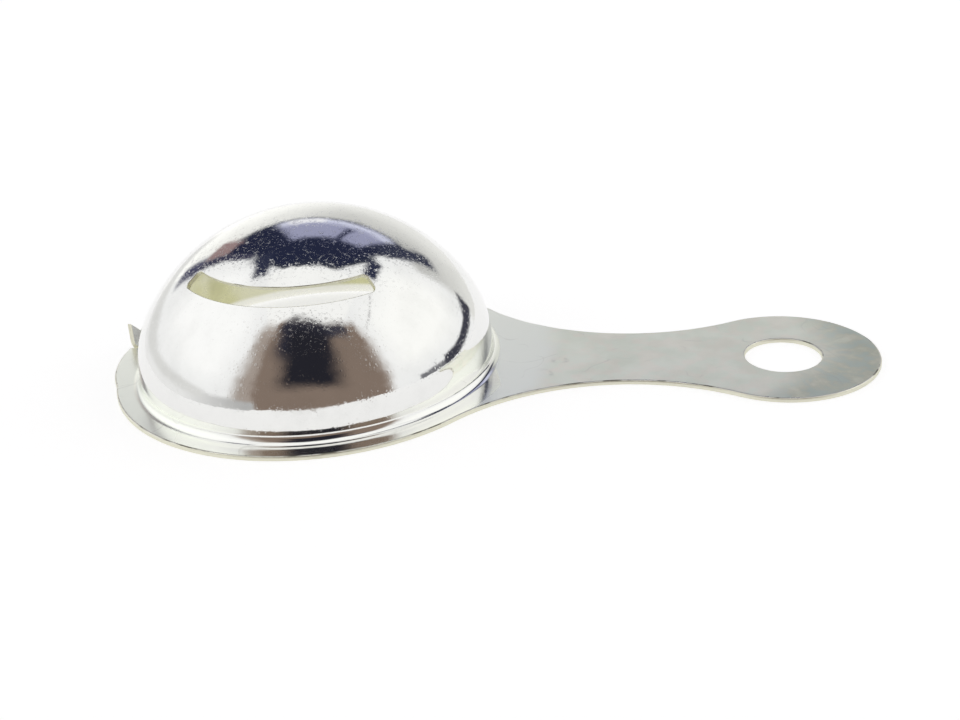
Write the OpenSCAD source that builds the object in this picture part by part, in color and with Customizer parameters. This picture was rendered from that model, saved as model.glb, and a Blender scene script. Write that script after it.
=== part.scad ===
// Egg separator lying mouth down: a slotted steel bowl on a flat handle plate.
// The plate's underside is at z = 0, and the handle points along +X.

/* [Sheet] */
// Thickness of the steel sheet of both pieces
sheet_t = 0.75; // [0.4:0.05:1.2]

/* [Bowl] */
// Outer radius of the bowl at its seam
bowl_r = 29; // [24:0.1:36]
// Height of the bowl's crown above the plate's upper face
bowl_h = 25.6; // [21:0.1:32]
// Height of the upright wall above the bowl's seam
wall_h = 0.9; // [0.3:0.1:4]
// Radius of the bend between the bowl's wall and its crown
knuckle_r = 15.8; // [8:0.1:18]

/* [Slots] */
// Width of each slot along the sheet
slot_w = 3.3; // [1.5:0.1:6]
// Angle that each slot spans round the bowl
slot_span = 99; // [40:1:150]
// Angle from the handle to the middle of each slot
slot_az = 95; // [80:1:100]
// Distance from the bowl's axis to the middle of each slot
slot_r = 18.9; // [12:0.1:23]

/* [Ring] */
// Radius of the fillet that rises from the ring to the bowl
fillet_r = 1.4; // [0.8:0.1:4]
// Width of the ring's flat rim outside the fillet
rim_w = 2.6; // [1:0.05:6]

/* [Handle] */
// Length of the handle beyond the ring
handle_l = 57.95; // [45:0.05:120]
// Width of the handle at its neck
neck_w = 17.7; // [10:0.1:24]
// Radius of the handle's round end
end_r = 15.2; // [12.5:0.1:20]
// Radius of the hole for hanging
hole_r = 6; // [2:0.1:9]

/* [Ear] */
// Angle from the handle to the ear's tall edge
ear_az = 171; // [150:1:200]
// Height of the ear above the plate's upper face
ear_h = 4.2; // [2:0.1:10]
// Length of the ear along the rim
ear_w = 4.6; // [2:0.1:12]
// Inner radius of the ear's bend
ear_bend_r = 0.8; // [0.3:0.1:1.5]
// Radius of the nose that the rim swells into beside the ear
nose_r = 24; // [12:0.5:30]
// Width of the slit between the ear and the nose
ear_slit = 0.4; // [0.2:0.1:1.5]

/* [Hidden] */
$fn = 128;

// Heights of the seam, of the knuckle's centre and of the crown's centre
seam_z = sheet_t + fillet_r;
knuckle_z = seam_z + wall_h;
rise = bowl_h + sheet_t - knuckle_z;
knuckle_x = bowl_r - knuckle_r;
crown_r = (knuckle_x ^ 2 + rise ^ 2 - knuckle_r ^ 2) / (2 * (rise - knuckle_r));
crown_z = sheet_t + bowl_h - crown_r;
// Angle from the mouth's plane at which the knuckle passes into the crown
crown_a = atan2(knuckle_z - crown_z, knuckle_x);
slot_a = acos(slot_r / crown_r);

// The ring, the handle's end and the arcs between them are all tangent.
fillet_x = bowl_r + fillet_r;
ring_r = fillet_x + rim_w;
// Width of the flat strip by which the collar and the ear run on into the rim
root_w = rim_w / 2;
end_x = ring_r + handle_l - end_r;
half_neck = neck_w / 2;
neck_k = (end_r - half_neck) / (ring_r - half_neck);
neck_c = end_x ^ 2 + (end_r - half_neck) * (ring_r - end_r);
neck_x = (end_x - sqrt(end_x ^ 2 - (1 - neck_k) * neck_c)) / (1 - neck_k);
neck_r = (neck_x ^ 2 / (ring_r - half_neck) - ring_r - half_neck) / 2;
neck_y = neck_r + half_neck;
// Tangent arcs overlap by this much, so that no sliver is left between them.
hair = 0.001;
on_ring = ring_r / (ring_r + neck_r) * [neck_x, neck_y];
on_end = [end_x, 0] + end_r / (end_r + neck_r) * [neck_x - end_x, neck_y];

// The ear's outer face and the nose beside it reach equally far.
ear_r = ring_r + ear_bend_r + sheet_t;
ear_span = 2 * asin(ear_w / ring_r);

// The origin is under the middle of the whole length.
bowl_x = (ear_r - end_x - end_r) / 2;

// Section through the sheet, bent about the origin from angle a0 to a1
module bent_sheet(outer_r, a0, a1) {
    reach = 2 * outer_r;
    intersection() {
        difference() {
            circle(outer_r);
            circle(outer_r - sheet_t);
        }
        polygon([[0, 0], reach * [cos(a0), sin(a0)], reach * [cos(a1), sin(a1)]]);
    }
}

// Half section of the dome's outside, or of its inside one sheet further in
module dome_half(inset) {
    reach = 2 * crown_r;
    translate([0, crown_z])
        intersection() {
            circle(crown_r - inset);
            polygon([[0, 0], reach * [cos(crown_a), sin(crown_a)], [0, reach]]);
        }
    translate([knuckle_x, knuckle_z]) circle(knuckle_r - inset);
    translate([0, seam_z]) square([bowl_r - inset, wall_h]);
}

// Cutter of one slot, square to the sheet at the middle of the slot
module slot_cutter() {
    rotate(-slot_span / 2)
        rotate_extrude(angle = slot_span)
            translate([0, crown_z])
                rotate(slot_a)
                    translate([crown_r - 2 * sheet_t, -slot_w / 2])
                        square([3 * sheet_t, slot_w]);
}

// Outline of the plate with its nose, without the holes
module plate_outline() {
    circle(ring_r);
    translate([end_x, 0]) circle(end_r);
    difference() {
        polygon([
            [0, 0], [on_ring.x, -on_ring.y], [on_end.x, -on_end.y],
            [end_x, 0], on_end, on_ring
        ]);
        for (side = [-1, 1])
            translate([neck_x, side * neck_y]) circle(neck_r + hair);
    }
    rotate(ear_az)
        intersection() {
            translate([ear_r - nose_r, 0]) circle(nose_r);
            translate([0, ear_slit]) square(2 * ear_r);
        }
}

// Rim turned up beside the nose, with an edge that slopes down to the rim
module ear() {
    rotate(ear_az)
        intersection() {
            rotate(-ear_span)
                rotate_extrude(angle = ear_span)
                    translate([ring_r, sheet_t + ear_bend_r]) {
                        translate([-root_w, -sheet_t - ear_bend_r]) square([root_w, sheet_t]);
                        bent_sheet(ear_bend_r + sheet_t, 270, 360);
                        translate([ear_bend_r, 0]) square([sheet_t, ear_h]);
                    }
            rotate([90, 0, 90])
                linear_extrude(2 * ear_r)
                    polygon([
                        [0, 0], [0, sheet_t + ear_h],
                        [-ear_w, sheet_t], [-ear_w, 0]
                    ]);
        }
}

module bowl() {
    color("whitesmoke")
        translate([bowl_x, 0, 0])
            difference() {
                rotate_extrude()
                    intersection() {
                        difference() {
                            dome_half(0);
                            dome_half(sheet_t);
                        }
                        translate([0, seam_z]) square([bowl_r, bowl_h]);
                    }
                for (side = [-1, 1])
                    rotate(side * slot_az) slot_cutter();
            }
}

module handle_plate() {
    color("silver")
        translate([bowl_x, 0, 0]) {
            linear_extrude(sheet_t)
                difference() {
                    plate_outline();
                    circle(fillet_x + root_w / 2);
                    translate([end_x, 0]) circle(hole_r);
                }
            rotate_extrude() {
                translate([fillet_x, seam_z]) bent_sheet(fillet_r + sheet_t, 180, 270);
                translate([fillet_x, 0]) square([root_w, sheet_t]);
            }
            ear();
        }
}

bowl();
handle_plate();
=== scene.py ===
"""Egg separator lying mouth down: a mirror-polished steel bowl on a satin handle plate, on a white floor."""
from math import acos, asin, atan2, cos, degrees, hypot, pi, radians, sin, sqrt

import bpy
from mathutils import Matrix, Vector
from mathutils.geometry import delaunay_2d_cdt


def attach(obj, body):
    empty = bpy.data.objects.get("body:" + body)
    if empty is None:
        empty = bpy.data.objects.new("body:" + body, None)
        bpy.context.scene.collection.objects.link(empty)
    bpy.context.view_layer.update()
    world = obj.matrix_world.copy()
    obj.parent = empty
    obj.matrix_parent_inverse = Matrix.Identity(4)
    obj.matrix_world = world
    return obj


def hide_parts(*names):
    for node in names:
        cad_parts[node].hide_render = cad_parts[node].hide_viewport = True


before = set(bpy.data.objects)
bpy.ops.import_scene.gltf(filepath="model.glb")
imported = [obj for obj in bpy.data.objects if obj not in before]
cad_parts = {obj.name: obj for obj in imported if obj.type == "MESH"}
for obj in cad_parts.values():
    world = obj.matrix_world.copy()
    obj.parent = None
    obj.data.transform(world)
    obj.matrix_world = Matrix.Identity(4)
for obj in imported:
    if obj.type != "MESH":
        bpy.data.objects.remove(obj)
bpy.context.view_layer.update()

# Bowl
# A dome drawn from stainless sheet, with two slots punched through its crown to let the egg white run off.
# Its outside is buffed to a mirror, its inside is left as drawn, and its foot is welded to the plate's
# collar. Its sizes are in millimetres, with the handle along +X and the plate's underside at z = 0.
MM = 0.001
SHEET = 0.75
BOWL_X = -28.2
BOWL_R = 29.0
BOWL_H = 25.6
WALL_H = 0.9
KNUCKLE_R = 15.8
FILLET_R = 1.4
SEAM_Z = SHEET + FILLET_R
KNUCKLE_Z = SEAM_Z + WALL_H
KNUCKLE_X = BOWL_R - KNUCKLE_R
RISE = SHEET + BOWL_H - KNUCKLE_Z
CROWN_R = (KNUCKLE_X ** 2 + RISE ** 2 - KNUCKLE_R ** 2) / (2 * (RISE - KNUCKLE_R))
CROWN_Z = SHEET + BOWL_H - CROWN_R
CROWN_A = atan2(KNUCKLE_Z - CROWN_Z, KNUCKLE_X)
SLOT_W = 3.3
SLOT_R = 18.9
SLOT_AZ = 95
SLOT_SPAN = 99
SLOT_CORNER_R = 0.9
SLOT_EDGE = 0.12
SLOT_A = acos(SLOT_R / CROWN_R)
COLUMNS = 180
COLUMN_DEG = 360 / COLUMNS
POLISHED, DRAWN, SHEARED, BURR_SHADE = range(4)


class SheetMesh:
    """Collects points with their surface normals, and faces, and makes one smooth mesh of them."""

    def __init__(self):
        self.points, self.normals, self.faces, self.finishes, self.flat = [], [], [], [], []

    def point(self, place, normal):
        self.points.append(Vector(place))
        self.normals.append(Vector(normal).normalized())
        return len(self.points) - 1

    def face(self, corners, finish=0, flat=False):
        self.faces.append(list(corners))
        self.finishes.append(finish)
        self.flat.append(flat)

    def strip(self, first, second, finish=0, flat=False):
        """A band of quads between two closed rows of points."""
        for i in range(len(first)):
            j = (i + 1) % len(first)
            self.face([first[i], first[j], second[j], second[i]], finish, flat)

    def thin_out(self, fine, coarse):
        """A band from a closed row to one with half or a third of its points."""
        step = len(fine) // len(coarse)
        for i, corner in enumerate(coarse):
            next_corner = coarse[(i + 1) % len(coarse)]
            run = [fine[(i * step + k) % len(fine)] for k in range(step + 1)]
            half = step // 2
            for k in range(half):
                self.face([run[k], run[k + 1], corner])
            if step % 2:
                self.face([run[half], run[half + 1], next_corner, corner])
                half += 1
            else:
                self.face([run[half], next_corner, corner])
            for k in range(half, step):
                self.face([run[k], run[k + 1], next_corner])

    def piece(self, name, materials):
        """The object in metres, with one material for each finish."""
        mesh = bpy.data.meshes.new(name)
        mesh.from_pydata([p * MM for p in self.points], [], self.faces)
        for material in materials:
            mesh.materials.append(material)
        mesh.polygons.foreach_set("material_index", self.finishes)
        mesh.polygons.foreach_set("use_smooth", [True] * len(self.faces))
        corner_normals = []
        for polygon, flat in zip(mesh.polygons, self.flat):
            for corner in polygon.vertices:
                corner_normals.append(polygon.normal.copy() if flat else self.normals[corner])
        mesh.normals_split_custom_set(corner_normals)
        obj = bpy.data.objects.new(name, mesh)
        bpy.context.scene.collection.objects.link(obj)
        return obj


def on_bowl(azimuth, slope, depth=0.0):
    """Point of the dome where its normal slopes up by slope, at a depth in the sheet, and that normal."""
    if slope < CROWN_A:
        radius = KNUCKLE_X + (KNUCKLE_R - depth) * cos(slope)
        height = KNUCKLE_Z + (KNUCKLE_R - depth) * sin(slope)
    else:
        radius = (CROWN_R - depth) * cos(slope)
        height = CROWN_Z + (CROWN_R - depth) * sin(slope)
    across, along = cos(azimuth), sin(azimuth)
    normal = Vector((cos(slope) * across, cos(slope) * along, sin(slope)))
    return Vector((BOWL_X + radius * across, radius * along, height)), normal


def steps(low, high, count):
    """Evenly spaced values from low to high, with both ends."""
    return [low + (high - low) * i / count for i in range(count + 1)]


# The rows run up the dome. A window of columns and rows round each slot is left out and filled by loops.
# Towards the crown the rows have a half of the points, and then a sixth.
WINDOW_HALF_DEG = 52
WINDOW_ROWS = 12
WINDOW_SLOPE = radians(6)
WINDOW_SHARES = (0.25, 0.5, 0.75)
KNUCKLE_ROWS = 15
BELT_ROWS = 14
CROWN_ROWS = 7
HALF_ROWS_A = radians(72)
SIXTH_ROWS_A = radians(81)
LAST_ROW_A = radians(88.6)
lower_rows = steps(0, CROWN_A, KNUCKLE_ROWS) + steps(CROWN_A, SLOT_A - WINDOW_SLOPE, BELT_ROWS)[1:]
window_rows = steps(SLOT_A - WINDOW_SLOPE, SLOT_A + WINDOW_SLOPE, WINDOW_ROWS)[1:]
upper_rows = steps(SLOT_A + WINDOW_SLOPE, HALF_ROWS_A, BELT_ROWS)[1:]
crown_rows = [(slope, COLUMNS // 2) for slope in steps(HALF_ROWS_A, SIXTH_ROWS_A, CROWN_ROWS)[1:]]
crown_rows += [(slope, COLUMNS // 6) for slope in steps(SIXTH_ROWS_A, LAST_ROW_A, CROWN_ROWS)[1:]]
row_slopes = lower_rows + window_rows + upper_rows
window_first = len(lower_rows) - 1
window_last = window_first + WINDOW_ROWS
window_half = int(WINDOW_HALF_DEG / COLUMN_DEG)
slot_columns = [int(SLOT_AZ / COLUMN_DEG), COLUMNS - int(SLOT_AZ / COLUMN_DEG)]
bowl = SheetMesh()


def in_window(row, column):
    """Whether a quad of the dome's grid lies in the window round a slot."""
    beside_slot = any(-window_half <= column - middle < window_half for middle in slot_columns)
    return window_first <= row < window_last and beside_slot


def dome_row(slope, count, depth, facing):
    """A closed row of points round the dome, on its outside or, facing the other way, on its inside."""
    row = []
    for column in range(count):
        place, normal = on_bowl(2 * pi * column / count, slope, depth)
        row.append(bowl.point(place, facing * normal))
    return row


def dome_side(depth, facing):
    """One side of the bowl's sheet without the slots' windows. Returns its grid of points and its foot."""
    grid = [dome_row(slope, COLUMNS, depth, facing) for slope in row_slopes]
    for row in range(len(grid) - 1):
        for column in range(COLUMNS):
            if not in_window(row, column):
                after = (column + 1) % COLUMNS
                quad = [grid[row][column], grid[row][after], grid[row + 1][after], grid[row + 1][column]]
                bowl.face(quad[::facing])
    first_face = len(bowl.faces)
    last_row = grid[-1]
    for slope, count in crown_rows:
        row = dome_row(slope, count, depth, facing)
        if len(row) == len(last_row):
            bowl.strip(last_row, row)
        else:
            bowl.thin_out(last_row, row)
        last_row = row
    place, normal = on_bowl(0, pi / 2, depth)
    top = bowl.point(place, facing * normal)
    for i, corner in enumerate(last_row):
        bowl.face([corner, last_row[(i + 1) % len(last_row)], top])
    foot = dome_row(0, COLUMNS, depth, facing)
    for i in foot:
        bowl.points[i].z -= WALL_H
    bowl.strip(foot, grid[0])
    if facing < 0:
        for corners in bowl.faces[first_face:]:
            corners.reverse()
    return grid, foot


outer_grid, outer_foot = dome_side(0.0, 1)
outer_faces = len(bowl.faces)
inner_grid, inner_foot = dome_side(SHEET, -1)
for i in range(outer_faces, len(bowl.faces)):
    bowl.finishes[i] = DRAWN
bowl.strip(inner_foot, outer_foot, SHEARED, flat=True)


def slot_outline():
    """Points and outward directions round one slot, in step with its window, as lengths along the sheet."""
    half_l = radians(SLOT_SPAN / 2) * SLOT_R
    half_w = SLOT_W / 2
    flat_l = half_l - SLOT_CORNER_R
    flat_w = half_w - SLOT_CORNER_R
    spare = 3
    end_count = WINDOW_ROWS + 2 * spare
    side_count = 2 * window_half - 2 * spare
    arc = SLOT_CORNER_R * pi / 2

    def right_end(share):
        """Point and direction at a share of the way round the slot's right end."""
        along = share * 2 * (arc + flat_w)
        if arc <= along < arc + 2 * flat_w:
            return (half_l, along - arc - flat_w), (1, 0)
        if along < arc:
            turn, corner = along / SLOT_CORNER_R - pi / 2, -flat_w
        else:
            turn, corner = (along - arc - 2 * flat_w) / SLOT_CORNER_R, flat_w
        spot = (flat_l + SLOT_CORNER_R * cos(turn), corner + SLOT_CORNER_R * sin(turn))
        return spot, (cos(turn), sin(turn))

    lower = [((x, -half_w), (0, -1)) for x in steps(-flat_l, flat_l, side_count)]
    right = [right_end(i / end_count) for i in range(1, end_count)]
    upper = [((x, half_w), (0, 1)) for x in steps(flat_l, -flat_l, side_count)]
    left = [((-x, -y), (-u, -v)) for (x, y), (u, v) in right]
    loop = lower + right + upper + left
    return loop[-spare:] + loop[:-spare]


slot_edge = slot_outline()


def slot_loop(slot_turn, widen, depth, facing, into_slot):
    """Row of points round a slot, with normals between the sheet's own and those of the slot's wall."""
    row = []
    for (x, y), (u, v) in slot_edge:
        azimuth = radians(slot_turn) + (x + widen * u) / SLOT_R
        slope = SLOT_A + (y + widen * v) / CROWN_R
        place, normal = on_bowl(azimuth, slope, depth)
        round_bowl = Vector((-sin(azimuth), cos(azimuth), 0))
        up_bowl = normal.cross(round_bowl)
        wall = -u * round_bowl - v * up_bowl
        row.append(bowl.point(place, facing * (1 - into_slot) * normal + into_slot * wall))
    return row


def window_places(middle):
    """Rows and columns of the grid's points round one slot's window, from its lower left corner."""
    low, high = middle - window_half, middle + window_half
    places = [(window_first, column) for column in range(low, high)]
    places += [(row, high) for row in range(window_first, window_last)]
    places += [(window_last, column) for column in range(high, low, -1)]
    return places + [(row, low) for row in range(window_last, window_first, -1)]


def window_loop(middle, slot_turn, share, depth, facing):
    """Row of points at a share of the way from the window's edge to the slot's."""
    shift = radians(slot_turn - middle * COLUMN_DEG) * SLOT_R
    loop = []
    for (row, column), ((x, y), (u, v)) in zip(window_places(middle), slot_edge):
        across = radians((column - middle) * COLUMN_DEG) * SLOT_R
        up = (row_slopes[row] - SLOT_A) * CROWN_R
        across += (x + shift + SLOT_EDGE * u - across) * share
        up += (y + SLOT_EDGE * v - up) * share
        azimuth = radians(middle * COLUMN_DEG) + across / SLOT_R
        place, normal = on_bowl(azimuth, SLOT_A + up / CROWN_R, depth)
        loop.append(bowl.point(place, facing * normal))
    return loop


# Each slot has softened lips and a sheared wall. The outer lip carries a painted shade line along its burr,
# but for its lower side.
SOFT_LIP = SLOT_EDGE * (1 - sqrt(0.5))
BURR_SHADE_FACING = -0.4
for middle, slot_turn in zip(slot_columns, (SLOT_AZ, 360 - SLOT_AZ)):
    lips = []
    for depth, facing, grid, finish in ((0.0, 1, outer_grid, POLISHED), (SHEET, -1, inner_grid, DRAWN)):
        loops = [[grid[row][column] for row, column in window_places(middle)]]
        loops += [window_loop(middle, slot_turn, share, depth, facing) for share in WINDOW_SHARES]
        loops.append(slot_loop(slot_turn, SLOT_EDGE, depth, facing, 0))
        for pair in zip(loops, loops[1:]):
            first, second = pair[::facing]
            bowl.strip(first, second, finish)
        lips.append(loops[-1])
    wall_loops = [
        lips[0],
        slot_loop(slot_turn, SOFT_LIP, SOFT_LIP, 1, 0.5),
        slot_loop(slot_turn, 0, SLOT_EDGE, 1, 1),
        slot_loop(slot_turn, 0, SHEET - SLOT_EDGE, -1, 1),
        slot_loop(slot_turn, SOFT_LIP, SHEET - SOFT_LIP, -1, 0.5),
        lips[1],
    ]
    first_wall = len(bowl.faces)
    for first, second in zip(wall_loops, wall_loops[1:]):
        bowl.strip(first, second, SHEARED)
    # The burr's faces take the painted shade line, all but those on the slot's lower side.
    for i, (_, (_, v)) in enumerate(slot_edge):
        if v > BURR_SHADE_FACING:
            bowl.finishes[first_wall + i] = BURR_SHADE


# The materials are built of nodes. Lengths in them are in metres.
def new_material(name):
    """A new material, with its node tree and its shader."""
    material = bpy.data.materials.new(name)
    material.use_nodes = True
    return material, material.node_tree, material.node_tree.nodes["Principled BSDF"]


def feed(tree, socket, value):
    """Links a socket to the output that is given, or sets it to a plain value."""
    if isinstance(value, bpy.types.NodeSocket):
        tree.links.new(value, socket)
    else:
        socket.default_value = value


def node(tree, kind, inputs=None, **settings):
    made = tree.nodes.new(kind)
    for key, value in settings.items():
        setattr(made, key, value)
    for key, value in (inputs or {}).items():
        feed(tree, made.inputs[key], value)
    return made


def math_node(tree, operation, first, second=0.0, third=0.0):
    return node(tree, "ShaderNodeMath", {0: first, 1: second, 2: third}, operation=operation).outputs[0]


def vector_math(tree, operation, first, second=(0, 0, 0)):
    return node(tree, "ShaderNodeVectorMath", {0: first, 1: second}, operation=operation).outputs


def axes(tree, vector):
    return node(tree, "ShaderNodeSeparateXYZ", {0: vector}).outputs


def object_place(tree):
    return node(tree, "ShaderNodeTexCoord").outputs["Object"]


def stretched(tree, place, scale):
    """Place scaled along each axis, for a pattern that is drawn out along one of them."""
    return node(tree, "ShaderNodeMapping", {"Vector": place, "Scale": scale}).outputs[0]


def noise(tree, place, per_unit, detail=2.0, roughness=0.5):
    """Cloudy values about a half, with so many lumps to each unit of the place."""
    inputs = {"Vector": place, "Scale": per_unit, "Detail": detail, "Roughness": roughness}
    return node(tree, "ShaderNodeTexNoise", inputs).outputs[0]


def ramp(tree, value, low, high, to_low=0.0, to_high=1.0, smooth=True):
    """Value carried from the range low to high into to_low to to_high, clamped, with soft ends."""
    made = node(tree, "ShaderNodeMapRange", {0: value, 1: low, 2: high, 3: to_low, 4: to_high})
    made.interpolation_type = "SMOOTHSTEP" if smooth else "LINEAR"
    return made.outputs[0]


def mix_colour(tree, share, first, second):
    return node(tree, "ShaderNodeMix", {0: share, 6: first, 7: second}, data_type="RGBA").outputs[2]


def bump(tree, height, strength, depth, below=None):
    """Normals of a surface with this height on it, over the bumps below."""
    made = node(tree, "ShaderNodeBump", {"Height": height, "Strength": strength, "Distance": depth})
    if below is not None:
        feed(tree, made.inputs["Normal"], below)
    return made.outputs[0]


def effect_group(name, inputs, outputs):
    """A node group with named inputs and outputs, for an effect that is placed more than once."""
    group = bpy.data.node_groups.new(name, "ShaderNodeTree")
    for label, value in inputs.items():
        kind = "NodeSocketVector" if value is None else "NodeSocketFloat"
        socket = group.interface.new_socket(label, in_out="INPUT", socket_type=kind)
        if value is not None:
            socket.default_value = value
    for label in outputs:
        group.interface.new_socket(label, in_out="OUTPUT", socket_type="NodeSocketFloat")
    return group, group.nodes.new("NodeGroupInput").outputs, group.nodes.new("NodeGroupOutput").inputs


def place_group(tree, group, inputs):
    return node(tree, "ShaderNodeGroup", inputs, node_tree=group).outputs


# Fine pits that handling and dust leave in the polish: small round spots in some cells of a pattern.
pits_inputs = {"Place": None, "Per Metre": 1500.0, "Share": 0.5}
pits_group, given, put = effect_group("fine_pits", pits_inputs, ["Pits"])
pattern = {"Vector": given["Place"], "Scale": given["Per Metre"]}
cells = node(pits_group, "ShaderNodeTexVoronoi", pattern).outputs
chance = node(pits_group, "ShaderNodeSeparateColor", {0: cells["Color"]}).outputs
spot = ramp(pits_group, cells["Distance"], 0.12, 0.5, 1.0, 0.0)
chosen = math_node(pits_group, "LESS_THAN", chance[0], given["Share"])
strength = ramp(pits_group, chance[1], 0.0, 1.0, 0.35, 1.0)
spot = math_node(pits_group, "MULTIPLY", spot, chosen)
feed(pits_group, put["Pits"], math_node(pits_group, "MULTIPLY", spot, strength))

# Hairline scratches, thin and curved, in patches, and soft smudges from use and wiping.
marks_inputs = {"Place": None, "Amount": 0.5}
marks_group, given, put = effect_group("handling_marks", marks_inputs, ["Scratches", "Smudges"])
lines = None
for shift, per_metre, fineness in ((0.0, 70.0, 0.007), (0.31, 120.0, 0.009), (0.74, 45.0, 0.005)):
    moved = vector_math(marks_group, "ADD", given["Place"], (shift, -shift, 0))[0]
    field = noise(marks_group, moved, per_metre, 1.0)
    away = math_node(marks_group, "ABSOLUTE", math_node(marks_group, "SUBTRACT", field, 0.5))
    line = ramp(marks_group, away, 0.0, fineness, 1.0, 0.0)
    lines = line if lines is None else math_node(marks_group, "MAXIMUM", lines, line)
where = ramp(marks_group, noise(marks_group, given["Place"], 160.0), 0.5, 0.66)
scratches = math_node(marks_group, "MULTIPLY", lines, where)
feed(marks_group, put["Scratches"], math_node(marks_group, "MULTIPLY", scratches, given["Amount"]))
smears = noise(marks_group, given["Place"], 140.0, 4.0, 0.6)
feed(marks_group, put["Smudges"], ramp(marks_group, smears, 0.4, 0.72))

# Mirror polish with crowds of fine pits, a few large ones, and a clouded crown.
polished_steel, tree, shader = new_material("polished_steel")
place = object_place(tree)
fine_pits = place_group(tree, pits_group, {"Place": place, "Per Metre": 2600.0, "Share": 0.75})["Pits"]
large_pits = place_group(tree, pits_group, {"Place": place, "Per Metre": 1400.0, "Share": 0.07})["Pits"]
crowds = ramp(tree, noise(tree, place, 420.0), 0.40, 0.62, 0.15, 1.0)
pits = math_node(tree, "MAXIMUM", math_node(tree, "MULTIPLY", fine_pits, crowds), large_pits)
marks = place_group(tree, marks_group, {"Place": place, "Amount": 0.5})
clouding = ramp(tree, noise(tree, place, 1900.0, 3.0, 0.7), 0.53, 0.66)
clouding = math_node(tree, "MULTIPLY", clouding, ramp(tree, axes(tree, place)[2], 0.010, 0.018, 0.1, 1.0))
colour = mix_colour(tree, marks["Smudges"], (0.85, 0.85, 0.835, 1), (0.80, 0.80, 0.785, 1))
rough = ramp(tree, marks["Smudges"], 0, 1, 0.05, 0.085)
rough = math_node(tree, "MULTIPLY_ADD", clouding, 0.23, rough)
rough = math_node(tree, "MULTIPLY_ADD", pits, 0.18, rough)
rough = math_node(tree, "MULTIPLY_ADD", marks["Scratches"], 0.12, rough)
ripples = bump(tree, noise(tree, place, 260.0), 1.0, 0.00003)
shader.inputs["Metallic"].default_value = 1.0
feed(tree, shader.inputs["Base Color"], colour)
feed(tree, shader.inputs["Roughness"], rough)
feed(tree, shader.inputs["Normal"], bump(tree, pits, 1.0, 0.000005, ripples))

# The inside as it was drawn: stained by the press's oil and wiped in places, with painted light that makes
# it pale at its foot.
drawn_steel, tree, shader = new_material("drawn_steel")
place = object_place(tree)
marks = place_group(tree, marks_group, {"Place": place, "Amount": 0.8})
colour = mix_colour(tree, marks["Smudges"], (0.70, 0.69, 0.42, 1), (0.62, 0.61, 0.38, 1))
wiped = ramp(tree, noise(tree, place, 95.0), 0.48, 0.62, 0.0, 0.8)
colour = mix_colour(tree, wiped, colour, (0.80, 0.79, 0.62, 1))
# Painted light: the inside is paler at its foot, where light through the slots falls.
above_painted_light = ramp(tree, axes(tree, place)[2], 0.0018, 0.0026)
colour = mix_colour(tree, above_painted_light, (0.97, 0.965, 0.90, 1), colour)
shader.inputs["Metallic"].default_value = 1.0
feed(tree, shader.inputs["Base Color"], colour)
feed(tree, shader.inputs["Roughness"], ramp(tree, marks["Smudges"], 0, 1, 0.26, 0.4))

# Bare metal where the sheet was sheared, with a grain that runs through the thickness.
sheared_steel, tree, shader = new_material("sheared_steel")
grain = noise(tree, stretched(tree, object_place(tree), (1.0, 1.0, 0.15)), 2600.0)
colour = mix_colour(tree, grain, (0.78, 0.77, 0.62, 1), (0.92, 0.91, 0.80, 1))
shader.inputs["Metallic"].default_value = 1.0
feed(tree, shader.inputs["Base Color"], colour)
feed(tree, shader.inputs["Roughness"], ramp(tree, grain, 0.3, 0.7, 0.42, 0.6))
feed(tree, shader.inputs["Normal"], bump(tree, grain, 0.6, 0.00005))

# Painted shade along the burr of a cut: a dark line, broken in places, where the rolled corner turns away
# from the light.
burr_shade_line, tree, shader = new_material("burr_shade_line")
burr_shade = noise(tree, object_place(tree), 300.0, 4.0)
colour = mix_colour(tree, ramp(tree, burr_shade, 0.36, 0.5), (0.22, 0.21, 0.17, 1), (0.74, 0.73, 0.66, 1))
shader.inputs["Metallic"].default_value = 1.0
feed(tree, shader.inputs["Base Color"], colour)
feed(tree, shader.inputs["Roughness"], ramp(tree, burr_shade, 0.3, 0.7, 0.45, 0.25))

bowl_piece = bowl.piece("steel_bowl", [polished_steel, drawn_steel, sheared_steel, burr_shade_line])
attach(bowl_piece, "root")
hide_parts("bowl")

# Handle plate
# One blank of stainless sheet, satin on the handle, and pressed up in a fillet from its ring to the bowl's
# foot. Its edges and hanging hole are sheared and bare, and a small ear is lanced from the rim and bent up.
RIM_W = 2.6
HANDLE_L = 57.95
NECK_W = 17.7
END_R = 15.2
HOLE_R = 6.0
EAR_AZ = 171
EAR_H = 4.2
EAR_W = 4.6
EAR_FOOT = 0.15
EAR_BEND_R = 0.8
EAR_RIM = 0.12
EAR_STEPS = 9
NOSE_R = 24.0
EAR_SLIT = 0.4
FILLET_X = BOWL_R + FILLET_R
RING_R = FILLET_X + RIM_W
END_X = RING_R + HANDLE_L - END_R
HALF_NECK = NECK_W / 2
NECK_K = (END_R - HALF_NECK) / (RING_R - HALF_NECK)
NECK_C = END_X ** 2 + (END_R - HALF_NECK) * (RING_R - END_R)
NECK_X = (END_X - sqrt(END_X ** 2 - (1 - NECK_K) * NECK_C)) / (1 - NECK_K)
NECK_R = (NECK_X ** 2 / (RING_R - HALF_NECK) - RING_R - HALF_NECK) / 2
NECK_Y = NECK_R + HALF_NECK
EAR_R = RING_R + EAR_BEND_R + SHEET
TOP_ROLL = 0.3
LOW_ROLL = 0.08
SATIN, PLATE_EDGE, PLATE_BURR_SHADE, PLATE_INSIDE = range(4)
# The top band of every sheared edge takes the painted shade line along its burr.
EDGE_FINISH = (PLATE_BURR_SHADE, PLATE_EDGE, PLATE_EDGE, PLATE_EDGE, PLATE_EDGE)


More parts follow.
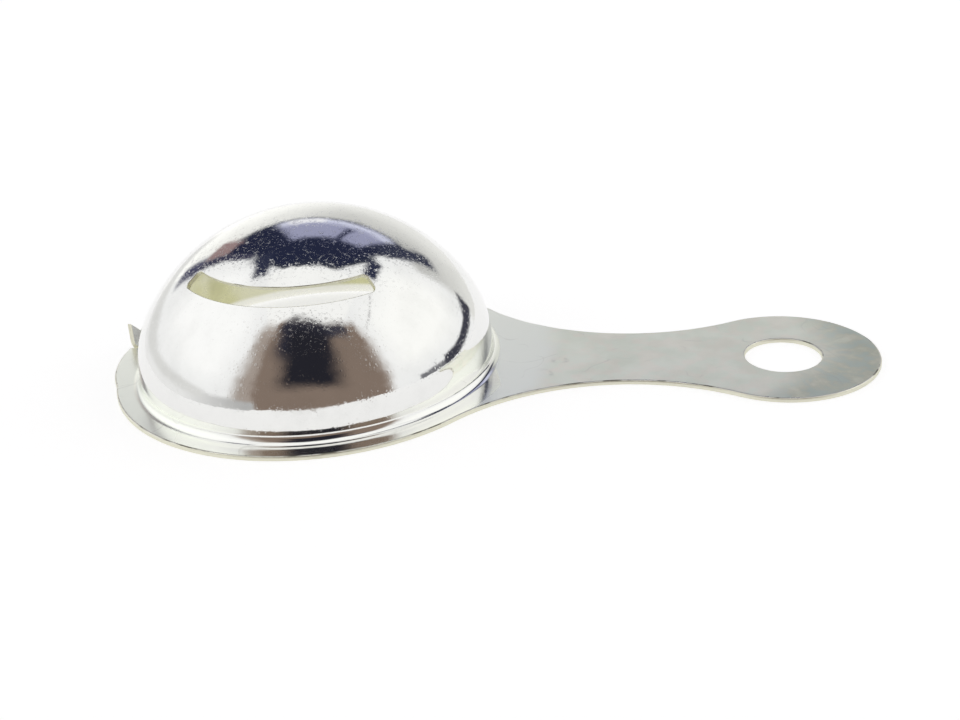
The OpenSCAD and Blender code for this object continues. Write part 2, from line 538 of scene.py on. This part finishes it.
def arc_points(centre, radius, start, end, spacing, outward=1):
    """Points along an arc with their outward directions, without the last one."""
    count = max(3, int(abs(end - start) * radius / spacing))
    made = []
    for i in range(count):
        turn = start + (end - start) * i / count
        out = (outward * cos(turn), outward * sin(turn))
        made.append(((centre[0] + radius * cos(turn), centre[1] + radius * sin(turn)), out))
    return made


# The outline runs anticlockwise from the ring's join with the neck: ring, ear, slit, nose, ring, neck,
# end and neck. Its points stand closer together at the ear and the slit.
RIM_STEP = 0.9
END_STEP = 0.8
EAR_STEP = 0.3
SLIT_STEP = 0.2
neck_turn = atan2(NECK_Y, NECK_X)
end_turn = atan2(NECK_Y, NECK_X - END_X)
ear_turn = radians(EAR_AZ)
ear_low_turn = ear_turn - asin((EAR_W - EAR_FOOT) / RING_R)
slit_turn = ear_turn + asin(EAR_SLIT / RING_R)
nose_reach = EAR_R - NOSE_R
nose_centre = (nose_reach * cos(ear_turn), nose_reach * sin(ear_turn))
nose_meet = acos((RING_R ** 2 + nose_reach ** 2 - NOSE_R ** 2) / (2 * RING_R * nose_reach))
nose_start = asin(EAR_SLIT / NOSE_R)
nose_end = atan2(RING_R * sin(nose_meet), RING_R * cos(nose_meet) - nose_reach)
outline = arc_points((0, 0), RING_R, neck_turn, ear_low_turn, RIM_STEP)
ear_first = len(outline)
outline += arc_points((0, 0), RING_R, ear_low_turn, ear_turn, EAR_STEP)
ear_last = len(outline)
outline += arc_points((0, 0), RING_R, ear_turn, slit_turn, SLIT_STEP)
slit_side = (sin(ear_turn), -cos(ear_turn))
slit_out = (cos(ear_turn), sin(ear_turn))
nose_tip = nose_reach + NOSE_R * cos(nose_start)
for reach in steps(sqrt(RING_R ** 2 - EAR_SLIT ** 2), nose_tip, 4)[:-1]:
    spot = (reach * slit_out[0] - EAR_SLIT * slit_side[0], reach * slit_out[1] - EAR_SLIT * slit_side[1])
    outline.append((spot, slit_side))
nose_first = len(outline)
outline += arc_points(nose_centre, NOSE_R, ear_turn + nose_start, ear_turn + nose_end, END_STEP)
# At the nose's corner the edge is mitred: its direction is that of both sides together.
corner, out = outline[nose_first]
outline[nose_first] = (corner, (out[0] + slit_side[0], out[1] + slit_side[1]))
outline += arc_points((0, 0), RING_R, ear_turn + nose_meet, 2 * pi - neck_turn, RIM_STEP)
outline += arc_points((NECK_X, -NECK_Y), NECK_R, pi - neck_turn, pi - end_turn, RIM_STEP, -1)
outline += arc_points((END_X, 0), END_R, -end_turn, end_turn, END_STEP)
outline += arc_points((NECK_X, NECK_Y), NECK_R, end_turn - pi, neck_turn - pi, RIM_STEP, -1)
plate = SheetMesh()


def at(spot, out, inset, height):
    """Place at a point of the outline, moved in from the edge and up."""
    return (BOWL_X + spot[0] - inset * out[0], spot[1] - inset * out[1], height)


def rolled_edge(spot, out):
    """Indices down one point of a sheared edge: rolled over at the top, nearly sharp below."""
    soft_top, soft_low = TOP_ROLL * (1 - sqrt(0.5)), LOW_ROLL * (1 - sqrt(0.5))
    side = (out[0], out[1], 0)
    return [
        plate.point(at(spot, out, TOP_ROLL, SHEET), (0, 0, 1)),
        plate.point(at(spot, out, soft_top, SHEET - soft_top), (out[0], out[1], 1)),
        plate.point(at(spot, out, 0, SHEET - TOP_ROLL), side),
        plate.point(at(spot, out, 0, LOW_ROLL), side),
        plate.point(at(spot, out, soft_low, soft_low), (out[0], out[1], -1)),
        plate.point(at(spot, out, LOW_ROLL, 0), (0, 0, -1)),
    ]


def edge_band(column, after):
    """The faces of a sheared edge between two of its points."""
    for k, finish in enumerate(EDGE_FINISH):
        plate.face([column[k], column[k + 1], after[k + 1], after[k]], finish)


def ear_section(turn, top, low):
    """Indices round the ear's section at one place of the rim, from the plate's top to its underside."""
    height = SHEET + EAR_H * (1 - RING_R * sin(ear_turn - turn) / EAR_W)
    out = Vector((cos(turn), sin(turn), 0))
    up = Vector((0, 0, 1))
    bend_z = SHEET + EAR_BEND_R
    bend = Vector((BOWL_X, 0, 0)) + RING_R * out + bend_z * up

    def side_path(radius, facing):
        """Points and normals up one side of the ear: round its bend, then straight up."""
        top_z = height - EAR_RIM
        bend_end = min(pi / 2, acos(max(-1.0, min(1.0, (bend_z - top_z) / radius))))
        bend_length = bend_end * radius
        length = bend_length + max(0.0, top_z - bend_z)
        path = []
        for along in steps(0, length, EAR_STEPS):
            turned = min(along / radius, bend_end)
            direction = sin(turned) * out - cos(turned) * up
            spot = bend + radius * direction + max(0.0, along - bend_length) * up
            path.append((spot, facing * direction))
        return path

    inner = side_path(EAR_BEND_R, -1)
    outer = side_path(EAR_BEND_R + SHEET, 1)
    inner_top, outer_top = inner[-1][0], outer[-1][0]
    across = outer_top - inner_top
    across.z = 0
    across.normalize()
    row = [top]
    row += [plate.point(p, n) for p, n in inner]
    row.append(plate.point(Vector((inner_top.x, inner_top.y, height)) + EAR_RIM * across, up))
    row.append(plate.point(Vector((outer_top.x, outer_top.y, height)) - EAR_RIM * across, up))
    row += [plate.point(p, n) for p, n in reversed(outer)]
    return row + [low]


columns = [rolled_edge(spot, out) for spot, out in outline]
upper_rim = [column[0] for column in columns]
lower_rim = [column[-1] for column in columns]
for i, column in enumerate(columns):
    if not ear_first <= i < ear_last:
        edge_band(column, columns[(i + 1) % len(columns)])
ear_rows = []
for i in range(ear_first, ear_last + 1):
    x, y = outline[i][0]
    ear_rows.append(ear_section(atan2(y, x) % (2 * pi), upper_rim[i], lower_rim[i]))
for row, after in zip(ear_rows, ear_rows[1:]):
    for k in range(len(row) - 1):
        on_top = EAR_STEPS < k <= EAR_STEPS + 3
        plate.face([row[k], row[k + 1], after[k + 1], after[k]], PLATE_EDGE if on_top else SATIN)
plate.face(ear_rows[0] + columns[ear_first][-2:0:-1], PLATE_EDGE, flat=True)
plate.face((ear_rows[-1] + columns[ear_last][-2:0:-1])[::-1], PLATE_EDGE, flat=True)

# The hanging hole has the same sheared edge, facing inwards.
HOLE_POINTS = 84
hole_columns = []
for i in range(HOLE_POINTS):
    turn = -2 * pi * i / HOLE_POINTS
    spot = (END_X + HOLE_R * cos(turn), HOLE_R * sin(turn))
    hole_columns.append(rolled_edge(spot, (-cos(turn), -sin(turn))))
for column, after in zip(hole_columns, hole_columns[1:] + hole_columns[:1]):
    edge_band(column, after)
hole_upper = [column[0] for column in hole_columns]
hole_lower = [column[-1] for column in hole_columns]

# The collar: a fillet that turns up from the ring to the bowl's foot.
FILLET_ROWS = 12


def collar_side(radius, facing):
    """Rows of points on one side of the collar, from the bowl's foot down to the ring."""
    rows = []
    for turn in steps(pi, 1.5 * pi, FILLET_ROWS):
        row = []
        for column in range(COLUMNS):
            azimuth = radians(column * COLUMN_DEG)
            reach = FILLET_X + radius * cos(turn)
            spot = (BOWL_X + reach * cos(azimuth), reach * sin(azimuth), SEAM_Z + radius * sin(turn))
            normal = Vector((cos(turn) * cos(azimuth), cos(turn) * sin(azimuth), sin(turn)))
            row.append(plate.point(spot, -facing * normal))
        rows.append(row)
    return rows


collar_outside = collar_side(FILLET_R, 1)
collar_inside = collar_side(FILLET_R + SHEET, -1)
for first, second in zip(collar_outside, collar_outside[1:]):
    plate.strip(second, first, SATIN)
for first, second in zip(collar_inside, collar_inside[1:]):
    plate.strip(first, second, PLATE_INSIDE)
plate.strip(collar_outside[0], collar_inside[0], PLATE_EDGE, flat=True)
ring_upper, ring_lower = collar_outside[-1], collar_inside[-1]

# The flat faces are filled with even triangles between the rims, the collar and the hole.
FILL_STEP = 2.0
FILL_FROM = 0.7 * FILLET_X
FILL_REACH = 2 * END_R
CLEAR = 0.8
rims = [upper_rim, hole_upper, ring_upper]
twins = dict(zip(upper_rim + hole_upper + ring_upper, lower_rim + hole_lower + ring_lower))
flat_index = [i for rim in rims for i in rim]
flat_spots = [plate.points[i].xy for i in flat_index]
flat_edges, start = [], 0
for rim in rims:
    flat_edges += [(start + i, start + (i + 1) % len(rim)) for i in range(len(rim))]
    start += len(rim)


def plate_half_width(x):
    """Half the plate's width at a distance x from the bowl's axis."""
    if x < RING_R * cos(neck_turn):
        return sqrt(max(0.0, RING_R ** 2 - x ** 2))
    if x < END_X + END_R * cos(end_turn):
        return NECK_Y - sqrt(NECK_R ** 2 - (x - NECK_X) ** 2)
    return sqrt(max(0.0, END_R ** 2 - (x - END_X) ** 2))


fill_row, x = 0, FILL_FROM
while x < END_X + END_R:
    y = -FILL_REACH + (fill_row % 2) * FILL_STEP / 2
    while y < FILL_REACH:
        inside = abs(y) < plate_half_width(x) - CLEAR and hypot(x, y) > FILLET_X + CLEAR
        if inside and hypot(x - END_X, y) > HOLE_R + CLEAR:
            flat_index.append(plate.point((BOWL_X + x, y, SHEET), (0, 0, 1)))
            twins[flat_index[-1]] = plate.point((BOWL_X + x, y, 0), (0, 0, -1))
            flat_spots.append(plate.points[flat_index[-1]].xy)
        y += FILL_STEP
    x += FILL_STEP * sqrt(0.75)
    fill_row += 1
filled = delaunay_2d_cdt(flat_spots, flat_edges, [], 1, 1e-7)
for triangle in filled[2]:
    corners = [flat_index[filled[3][i][0]] for i in triangle]
    centre = sum((plate.points[i].xy for i in corners), Vector((0, 0))) / 3
    over_mouth = (centre - Vector((BOWL_X, 0))).length < FILLET_X
    over_hole = (centre - Vector((BOWL_X + END_X, 0))).length < HOLE_R + TOP_ROLL
    if not over_mouth and not over_hole:
        plate.face(corners, SATIN)
        plate.face([twins[i] for i in reversed(corners)], SATIN)


def distance_from(tree, place, x):
    """Level distance of a place from the upright line at x millimetres, and the offset from that line."""
    offset = vector_math(tree, "SUBTRACT", place, (x * MM, 0, 0))[0]
    level = vector_math(tree, "MULTIPLY", offset, (1, 1, 0))[0]
    return vector_math(tree, "LENGTH", level)["Value"], level


def mix_value(tree, share, first, second):
    return node(tree, "ShaderNodeMix", {0: share, 2: first, 3: second}).outputs[0]


# Satin sheet with a mottled greenish and pinkish tinge.
satin_steel, tree, shader = new_material("satin_steel")
place = object_place(tree)
marks = place_group(tree, marks_group, {"Place": place, "Amount": 0.7})
pits = place_group(tree, pits_group, {"Place": place, "Per Metre": 1500.0, "Share": 0.2})["Pits"]
from_bowl, bowl_offset = distance_from(tree, place, BOWL_X)
from_hole, hole_offset = distance_from(tree, place, BOWL_X + END_X)
along_handle, _, above = axes(tree, place)
mottle = noise(tree, place, 110.0, 4.0, 0.6)
blotches = ramp(tree, mottle, 0.36, 0.66)
tinge = ramp(tree, noise(tree, place, 330.0, 3.0), 0.4, 0.6)
greenish = mix_colour(tree, blotches, (0.88, 0.91, 0.785, 1), (0.955, 0.98, 0.86, 1))
pinkish = mix_colour(tree, blotches, (0.905, 0.895, 0.775, 1), (0.985, 0.965, 0.85, 1))
satin = mix_colour(tree, tinge, greenish, pinkish)

# Past the hanging hole the satin is darker, in streaks that fan out from the hole.
hole_x, hole_y, _ = axes(tree, hole_offset)
hole_turn = math_node(tree, "ARCTAN2", hole_y, hole_x)
fan = node(tree, "ShaderNodeCombineXYZ", {0: hole_turn, 1: math_node(tree, "MULTIPLY", from_hole, 60.0)})
streaks = noise(tree, fan.outputs[0], 5.0, 3.0)
aside = math_node(tree, "MULTIPLY", math_node(tree, "ABSOLUTE", hole_y), 0.45)
aside = math_node(tree, "MULTIPLY_ADD", hole_y, -0.3, aside)
past_hole = ramp(tree, math_node(tree, "ADD", hole_x, aside), 0.003, 0.013)
near_end = math_node(tree, "MULTIPLY", past_hole, ramp(tree, streaks, 0.25, 0.6, 0.55, 1.0))
end_tint = mix_colour(tree, ramp(tree, streaks, 0.42, 0.6), (0.59, 0.595, 0.48, 1), (0.58, 0.64, 0.57, 1))
satin = mix_colour(tree, near_end, satin, end_tint)

# Water marks near the bowl: uneven dried rings, each with its place, radius and width.
uneven = noise(tree, place, 420.0, 3.0)
ragged = math_node(tree, "SUBTRACT", uneven, 0.5)
for x, y, ring, width in ((8.6, -7.0, 2.1, 0.9), (12.0, -1.9, 1.0, 0.7), (9.8, 2.6, 0.4, 0.8)):
    spot = vector_math(tree, "SUBTRACT", place, (x * MM, y * MM, SHEET * MM))[0]
    reach = math_node(tree, "MULTIPLY_ADD", ragged, 0.002, vector_math(tree, "LENGTH", spot)["Value"])
    away = math_node(tree, "ABSOLUTE", math_node(tree, "SUBTRACT", reach, ring * MM))
    dried = ramp(tree, away, 0.0, width * MM, 0.75, 0.0)
    dried = math_node(tree, "MULTIPLY", dried, ramp(tree, uneven, 0.34, 0.56))
    far_half = ramp(tree, axes(tree, spot)[1], -0.0008, 0.0006)
    satin = mix_colour(tree, math_node(tree, "MULTIPLY", dried, far_half), satin, (0.56, 0.57, 0.50, 1))

# Round the bowl the plate is buffed. Its ring and collar are polished with the bowl, but for the ring beside
# the handle, and less and less towards the nose. The ear is left dull.
WIPED_WAY = (cos(radians(22)), sin(radians(22)), 0)
RING_EDGE = (RING_R + 0.3) * MM
EAR_INSIDE = (RING_R + 0.1) * MM
buffed = ramp(tree, math_node(tree, "MULTIPLY_ADD", mottle, 0.008, from_bowl), 0.0405, 0.0455, 1.0, 0.0)
to_handle = vector_math(tree, "DOT_PRODUCT", bowl_offset, WIPED_WAY)["Value"]
at_handle = ramp(tree, to_handle, 0.0252, 0.0266)
off_nose = ramp(tree, along_handle, (BOWL_X - 19.0) * MM, (BOWL_X - 4.0) * MM)
ring_reach = math_node(tree, "MULTIPLY_ADD", at_handle, 0.0030, from_bowl)
collar = math_node(tree, "MULTIPLY", off_nose, ramp(tree, ring_reach, 0.0312, RING_EDGE, 1.0, 0.0))
on_ring = math_node(tree, "MULTIPLY", off_nose, ramp(tree, ring_reach, RING_R * MM, RING_EDGE, 1.0, 0.0))
raised = ramp(tree, above, 0.0009, 0.0013)
on_ear = math_node(tree, "MULTIPLY", raised, ramp(tree, from_bowl, EAR_INSIDE, 0.0334))
scratched = math_node(tree, "MULTIPLY", marks["Scratches"], 0.35)
colour = mix_colour(tree, buffed, satin, (0.965, 0.985, 0.915, 1))
colour = mix_colour(tree, collar, colour, (0.87, 0.87, 0.845, 1))
colour = mix_colour(tree, scratched, colour, (0.5, 0.5, 0.46, 1))
colour = mix_colour(tree, on_ear, colour, (0.92, 0.92, 0.91, 1))
rough = mix_value(tree, buffed, ramp(tree, marks["Smudges"], 0, 1, 0.35, 0.45), 0.29)
rough = math_node(tree, "MULTIPLY_ADD", pits, 0.05, rough)
rough = mix_value(tree, on_ring, rough, ramp(tree, from_bowl, 0.0310, EAR_INSIDE, 0.10, 0.16))
rough = math_node(tree, "MULTIPLY_ADD", on_ear, 0.5, rough)
rolling = noise(tree, stretched(tree, place, (0.08, 1.0, 1.0)), 2200.0)
rolled_lines = bump(tree, rolling, 0.2, 0.00002)
feed(tree, shader.inputs["Base Color"], colour)
feed(tree, shader.inputs["Metallic"], ramp(tree, on_ear, 0, 1, 1.0, 0.35, False))
feed(tree, shader.inputs["Roughness"], rough)
feed(tree, shader.inputs["Normal"], bump(tree, noise(tree, place, 120.0), 1.0, 0.00004, rolled_lines))

handle_piece = plate.piece("steel_handle", [satin_steel, sheared_steel, burr_shade_line, drawn_steel])
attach(handle_piece, "root")
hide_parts("handle_plate")

# Floor
# A matt white table top, wide enough to fill the view. It shows white to the camera and in the steel,
# and still takes the part's soft shadow. Its sizes, and the tent's, are in metres.
FLOOR_CORNERS = ((-0.049, -0.096), (0.063, -0.096), (0.147, 0.35), (-0.243, 0.35))
FLOOR_DROP = 0.00002
floor_mesh = bpy.data.meshes.new("floor")
floor_mesh.from_pydata([(x, y, -FLOOR_DROP) for x, y in FLOOR_CORNERS], [], [(0, 1, 2, 3)])
floor = bpy.data.objects.new("floor", floor_mesh)
bpy.context.scene.collection.objects.link(floor)
white_table, tree, shader = new_material("white_table")
tree.nodes.remove(shader)
matt = node(tree, "ShaderNodeBsdfDiffuse", {"Color": (0.9, 0.9, 0.9, 1)})
shaded = node(tree, "ShaderNodeBsdfDiffuse", {"Color": (0.42, 0.42, 0.42, 1)})
glow = node(tree, "ShaderNodeEmission", {"Color": (1, 1, 1, 1), "Strength": 0.73})
seen = node(tree, "ShaderNodeAddShader", {0: shaded.outputs[0], 1: glow.outputs[0]})
path = node(tree, "ShaderNodeLightPath").outputs
direct = math_node(tree, "MAXIMUM", path["Is Camera Ray"], path["Is Glossy Ray"])
direct = math_node(tree, "MAXIMUM", direct, path["Is Transmission Ray"])
either = node(tree, "ShaderNodeMixShader", {0: direct, 1: matt.outputs[0], 2: seen.outputs[0]})
feed(tree, tree.nodes["Material Output"].inputs["Surface"], either.outputs[0])
floor_mesh.materials.append(white_table)

# Studio
# A white cloth tent, lit from outside, stands round the part, with a pale cloth at the far side and
# openings to a dim room above that cloth and behind the camera. The camera looks through the tent.
TENT_R = 1.3
TENT_COLUMNS = 48
TENT_ROWS = 16
TENT_LOW_DEG = -14
TENT_SPAN_DEG = 103
tent_points, tent_faces = [], []
for row in range(TENT_ROWS + 1):
    height = radians(TENT_LOW_DEG + TENT_SPAN_DEG * row / TENT_ROWS)
    for column in range(TENT_COLUMNS):
        turn = 2 * pi * column / TENT_COLUMNS
        spot = Vector((cos(height) * cos(turn), cos(height) * sin(turn), sin(height)))
        tent_points.append(TENT_R * spot)
for row in range(TENT_ROWS):
    for column in range(TENT_COLUMNS):
        after = (column + 1) % TENT_COLUMNS
        low, high = row * TENT_COLUMNS, (row + 1) * TENT_COLUMNS
        tent_faces.append((low + column, high + column, high + after, low + after))
tent_faces.append(tuple(TENT_ROWS * TENT_COLUMNS + column for column in range(TENT_COLUMNS)))
tent_mesh = bpy.data.meshes.new("tent")
tent_mesh.from_pydata(tent_points, [], tent_faces)
tent = bpy.data.objects.new("tent", tent_mesh)
tent.visible_camera = False
bpy.context.scene.collection.objects.link(tent)

# A soft-edged opening or cloth between two bearings and two heights.
opening_inputs = dict.fromkeys(("Bearing", "Height", "From", "To", "Low", "High", "Softness"), 0.0)
opening_group, given, put = effect_group("tent_opening", opening_inputs, ["Mask"])
mask = None
for along, first, last in (("Bearing", "From", "To"), ("Height", "Low", "High")):
    for edge, before, past in ((first, 0.0, 1.0), (last, 1.0, 0.0)):
        inner = math_node(opening_group, "SUBTRACT", given[edge], given["Softness"])
        outer = math_node(opening_group, "ADD", given[edge], given["Softness"])
        side = ramp(opening_group, given[along], inner, outer, before, past)
        mask = side if mask is None else math_node(opening_group, "MULTIPLY", mask, side)
feed(opening_group, put["Mask"], mask)

# Places on the tent, in degrees: the height, the bearing from the far side and the one from the near side.
# Places on the roof are level distances for each unit of height: across and along.
lit_tent, tree, shader = new_material("lit_tent")
tree.nodes.remove(shader)
direction = vector_math(tree, "NORMALIZE", object_place(tree))[0]
across, along, upward = axes(tree, direction)
across_back = math_node(tree, "MULTIPLY", across, -1.0)
along_back = math_node(tree, "MULTIPLY", along, -1.0)
DEGREE = degrees(1)
height = math_node(tree, "MULTIPLY", math_node(tree, "ARCSINE", upward), DEGREE)
from_far = math_node(tree, "MULTIPLY", math_node(tree, "ARCTAN2", across_back, along), DEGREE)
from_near = math_node(tree, "MULTIPLY", math_node(tree, "ARCTAN2", across, along_back), DEGREE)
overhead = math_node(tree, "MAXIMUM", upward, 0.02)
roof_across = math_node(tree, "DIVIDE", across, overhead)
roof_along = math_node(tree, "DIVIDE", along, overhead)
roof_bow = math_node(tree, "MULTIPLY", roof_across, roof_across)
roof_bow = math_node(tree, "MULTIPLY_ADD", roof_bow, 0.5, roof_along)


def hang(light, bearing, level, edges, softness, colour):
    """The tent's light with one more opening or cloth of this colour over it."""
    first, last, low, high = edges
    mask = place_group(tree, opening_group, {
        "Bearing": bearing, "Height": level, "From": first, "To": last, "Low": low, "High": high,
        "Softness": softness,
    })["Mask"]
    return mix_colour(tree, mask, light, colour)


# The two bright sides, and the pale cloth at the far side.
light = hang((0.99, 0.995, 1.0, 1), from_far, height, (64, 128, 14, 58), 13, (1.13, 1.13, 1.13, 1))
light = hang(light, from_far, height, (-112, -48, 14, 58), 13, (1.13, 1.13, 1.11, 1))
cloth = math_node(tree, "ADD", ramp(tree, height, 0, 28, 0.90, 0.67), ramp(tree, from_far, 2, 28, 0.0, 0.3))
cloth = math_node(tree, "ADD", cloth, ramp(tree, from_far, -24, -10, -0.06, 0.0))
cloth_blue = math_node(tree, "MULTIPLY", cloth, 0.97)
cloth_colour = node(tree, "ShaderNodeCombineColor", {0: cloth, 1: cloth, 2: cloth_blue}).outputs[0]
light = hang(light, from_far, height, (-40, 47, -15, 32), 3, cloth_colour)

# The opening above that cloth: a dark wall, a window with a bright sill and a bar, a brown panel and posts.
window = mix_colour(tree, ramp(tree, height, 33, 39), (0.72, 0.74, 0.92, 1), (0.36, 0.37, 0.53, 1))
for edges, softness, colour in (
    ((-38, 57, 52, 79), 3, (0.03, 0.035, 0.06, 1)),
    ((-32, 50, 29, 72), 2.5, (0.02, 0.024, 0.055, 1)),
    ((-20, 25, 31, 52), 2.5, window),
    ((8, 21, 31, 36), 2, (0.98, 0.98, 1.02, 1)),
    ((-6, -2, 38, 55), 1.8, (0.04, 0.045, 0.09, 1)),
    ((38.5, 49, 21, 33), 2, (0.34, 0.24, 0.24, 1)),
    ((48, 53, 16, 50), 1.5, (0.05, 0.05, 0.09, 1)),
    ((45, 52, 9, 21), 2, (0.08, 0.08, 0.14, 1)),
    ((-33, -23, 19, 45), 2.5, (0.04, 0.045, 0.08, 1)),
):
    light = hang(light, from_far, height, edges, softness, colour)

# The roof: dark corners, two slanting seams, and a bright bowed cloth.
left_seam = math_node(tree, "MULTIPLY_ADD", roof_along, 0.29, roof_across)
right_seam = math_node(tree, "MULTIPLY_ADD", roof_along, 0.35, roof_across)
for bearing, level, edges, softness, colour in (
    (roof_across, roof_along, (-0.57, -0.42, 0.15, 0.50), 0.025, (0.03, 0.035, 0.07, 1)),
    (roof_across, roof_along, (0.40, 0.55, 0.29, 0.60), 0.03, (0.03, 0.035, 0.07, 1)),
    (left_seam, roof_along, (-0.465, -0.42, -0.48, -0.14), 0.015, (0.4, 0.4, 0.42, 1)),
    (right_seam, roof_along, (0.585, 0.61, -0.4, 0.3), 0.012, (0.6, 0.6, 0.6, 1)),
    (roof_across, roof_bow, (-0.405, 0.40, -0.45, 0.23), 0.02, (1.06, 1.06, 1.05, 1)),
):
    light = hang(light, bearing, level, edges, softness, colour)

# The dim brown room behind the camera, under an uneven, arched edge, and its dark middle.
drift = math_node(tree, "SUBTRACT", noise(tree, direction, 4.0), 0.5)
drift = math_node(tree, "MULTIPLY", drift, 9.0)
room_bearing = math_node(tree, "ADD", from_near, drift)
room_arch = math_node(tree, "ABSOLUTE", math_node(tree, "ADD", from_near, 8.0))
room_arch = math_node(tree, "POWER", room_arch, 2.0)
room_height = math_node(tree, "SUBTRACT", math_node(tree, "MULTIPLY_ADD", room_arch, 0.0022, height), drift)
for edges, softness, colour in (
    ((-41, 57, -20, 60), 6, (0.42, 0.36, 0.32, 1)),
    ((-30, 54, -20, 66), 3.5, (0.25, 0.19, 0.155, 1)),
    ((-24, 44, 58, 66), 3, (0.05, 0.05, 0.07, 1)),
    ((-23, 22, 44, 66), 6, (0.03, 0.03, 0.045, 1)),
    ((-14, 26, 20, 62), 8, (0.02, 0.02, 0.028, 1)),
):
    light = hang(light, room_bearing, room_height, edges, softness, colour)

# The tent's low hems: two dark gaps at the right, the second of which rises to the far side, and shaded
# skirts at the left.
rise = math_node(tree, "MAXIMUM", math_node(tree, "SUBTRACT", from_near, 112.0), 0.0)
hem = math_node(tree, "MULTIPLY_ADD", rise, -0.26, height)
shade = ramp(tree, from_near, -80, -34, 0.93, 0.5, False)
skirt = node(tree, "ShaderNodeCombineColor", {0: shade, 1: shade, 2: shade}).outputs[0]
for level, edges, softness, colour in (
    (height, (77, 112, -20, 0.4), 1.6, (0.2, 0.2, 0.22, 1)),
    (hem, (99, 143, -4.5, 3.4), 1.5, (0.055, 0.055, 0.075, 1)),
    (height, (-140, -28, -25, 2), 2.5, skirt),
    (height, (-150, -62, -4, 4), 2.5, (0.79, 0.79, 0.78, 1)),
):
    light = hang(light, from_near, level, edges, softness, colour)
glow = node(tree, "ShaderNodeEmission", {"Color": light, "Strength": 1.0})
feed(tree, tree.nodes["Material Output"].inputs["Surface"], glow.outputs[0])
lit_tent.cycles.emission_sampling = "NONE"
tent_mesh.materials.append(lit_tent)

world = bpy.data.worlds.new("white_surround")
bpy.context.scene.world = world
world.use_nodes = True
world.node_tree.nodes["Background"].inputs["Color"].default_value = (1, 1, 1, 1)
world.node_tree.nodes["Background"].inputs["Strength"].default_value = 1.0
bpy.context.scene.view_settings.view_transform = "Standard"

# Camera
# It stands in front of the part and above it. It is turned a little to the left, tipped down and tilted a
# little to one side. Its place is in millimetres.
LENS = 53.338
CAMERA_PLACE = (28.032, -208.133, 100.95)
YAW, PITCH, ROLL = radians(-7.9951), radians(-25.6148), radians(-3.9198)
camera_data = bpy.data.cameras.new("camera")
camera_data.lens = LENS
camera_data.sensor_width = 36.0
camera_data.clip_start = 0.01
camera = bpy.data.objects.new("camera", camera_data)
bpy.context.scene.collection.objects.link(camera)
ahead = Vector((sin(YAW) * cos(PITCH), cos(YAW) * cos(PITCH), sin(PITCH)))
sideways = Vector((cos(YAW), -sin(YAW), 0))
upright = sideways.cross(ahead)
camera_right = cos(ROLL) * sideways + sin(ROLL) * upright
camera_up = -sin(ROLL) * sideways + cos(ROLL) * upright
turned = Matrix((camera_right, camera_up, -ahead)).transposed().to_4x4()
camera.matrix_world = Matrix.Translation(Vector(CAMERA_PLACE) * MM) @ turned
bpy.context.scene.camera = camera
